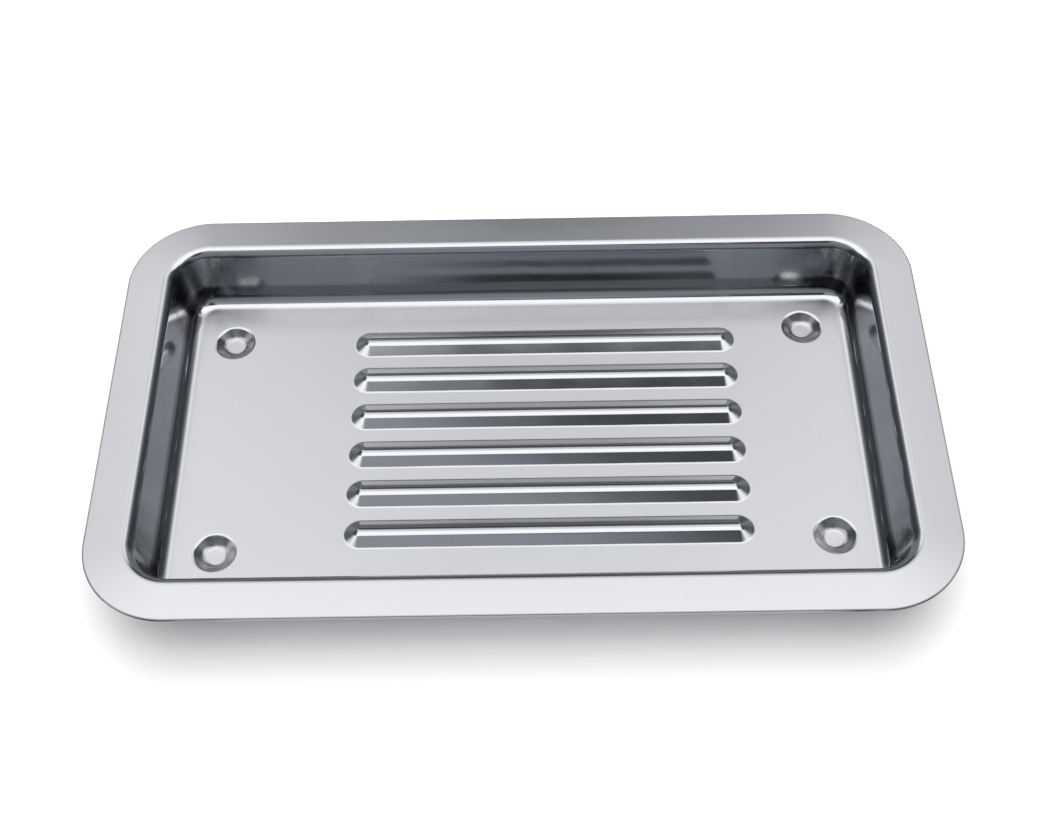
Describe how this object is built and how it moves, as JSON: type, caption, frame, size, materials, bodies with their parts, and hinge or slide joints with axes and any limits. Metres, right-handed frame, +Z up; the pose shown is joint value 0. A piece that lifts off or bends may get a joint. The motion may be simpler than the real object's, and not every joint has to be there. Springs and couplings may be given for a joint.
{
  "type": "ribbed instrument tray",
  "caption": "Shallow rectangular stainless steel tray drawn from one sheet, with rounded corners, a flat rim, raised lengthwise ribs in its floor and pressed round feet.",
  "frame": {"origin": "centre of the tray's footprint at the bottoms of the pressed feet", "axes": "+X along the length to the right, +Y across the width to the back, +Z up out of the tray"},
  "size_m": [0.225, 0.1334, 0.02],
  "materials": {
    "polished_steel": "polished stainless steel sheet with fine rolling lines and light handling marks"
  },
  "bodies": {
    "root": {"floor_panel": "polished_steel", "rib_1": "polished_steel", "rib_2": "polished_steel", "rib_3": "polished_steel", "rib_4": "polished_steel", "rib_5": "polished_steel", "rib_6": "polished_steel", "foot_front_left": "polished_steel", "foot_front_right": "polished_steel", "foot_back_left": "polished_steel", "foot_back_right": "polished_steel", "wall_front": "polished_steel", "wall_back": "polished_steel", "wall_left": "polished_steel", "wall_right": "polished_steel", "wall_corner_front_left": "polished_steel", "wall_corner_front_right": "polished_steel", "wall_corner_back_left": "polished_steel", "wall_corner_back_right": "polished_steel", "rim_front": "polished_steel", "rim_back": "polished_steel", "rim_left": "polished_steel", "rim_right": "polished_steel", "rim_corner_front_left": "polished_steel", "rim_corner_front_right": "polished_steel", "rim_corner_back_left": "polished_steel", "rim_corner_back_right": "polished_steel"}
  },
  "joints": []
}
